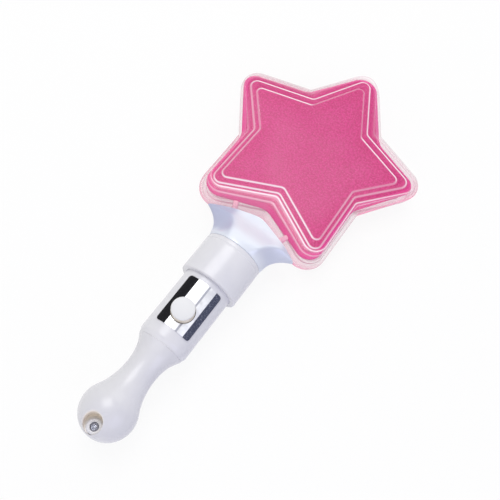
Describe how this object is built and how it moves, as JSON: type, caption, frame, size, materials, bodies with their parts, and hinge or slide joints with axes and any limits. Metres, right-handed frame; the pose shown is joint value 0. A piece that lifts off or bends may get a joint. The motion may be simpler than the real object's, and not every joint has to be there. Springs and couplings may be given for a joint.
{
  "type": "light-up star wand",
  "caption": "Toy wand: a clear hollow star case with pink inserts on a fanned neck, a white barrel with a push button, and a waisted pull-off grip ending in a ball.",
  "frame": {"origin": "under the middle of the wand's length, on the plane that the collar rests on when the wand lies face up", "axes": "+Y along the wand from the ball to the star's top tip, +Z out of the star's front and the button, +X to the right seen from the front"},
  "size_m": [0.1052, 0.2246, 0.0305],
  "materials": {
    "clear_case": "clear, polished",
    "pink_insert": "fine speckled pink",
    "pale_pin": "pale pink gloss",
    "pearl_neck": "pearl white gloss",
    "white_handle": "white gloss",
    "mirror_film": "mirror film with dark side bands",
    "button_white": "satin white",
    "board_green": "satin",
    "dark_plastic": "satin",
    "cell_steel": "bright",
    "contact_brass": "bright",
    "lamp_clear": "clear",
    "wire_red": "matte",
    "wire_black": "matte",
    "screw_steel": "bright"
  },
  "bodies": {
    "handle": {"star_front_shell": "clear_case", "star_back_shell": "clear_case", "pink_star_front": "pink_insert", "pink_star_back": "pink_insert", "neck_pin_left": "pale_pin", "neck_pin_right": "pale_pin", "neck_flare": "pearl_neck", "collar_ring": "white_handle", "barrel": "white_handle", "chrome_label": "mirror_film", "circuit_board": "board_green", "switch_body": "dark_plastic", "battery_carriage": "dark_plastic", "button_cell_1": "cell_steel", "button_cell_2": "cell_steel", "button_cell_3": "cell_steel", "positive_contact": "contact_brass", "negative_contact": "contact_brass", "light_bulb": "lamp_clear", "bulb_holder": "white_handle", "led_wire_red": "wire_red", "led_wire_black": "wire_black"},
    "button": {"power_button": "button_white", "switch_plunger": "button_white"},
    "grip": {"grip_shell": "white_handle"},
    "screw": {"locking_screw": "screw_steel"}
  },
  "joints": [
    {"name": "button_press", "type": "slide", "parent": "handle", "child": "button", "axis": [0, 0, -1], "range_m": [0, 0.001], "stiffness_N_per_m": 500, "springref_m": -0.0004},
    {"name": "grip_pull", "type": "slide", "parent": "handle", "child": "grip", "axis": [0, -1, 0], "range_m": [0, 0.056]},
    {"name": "screw_turn", "type": "hinge", "parent": "grip", "child": "screw", "pos_m": [0, -0.10783, 0.0176], "axis": [0, 0, 1], "continuous": true}
  ]
}
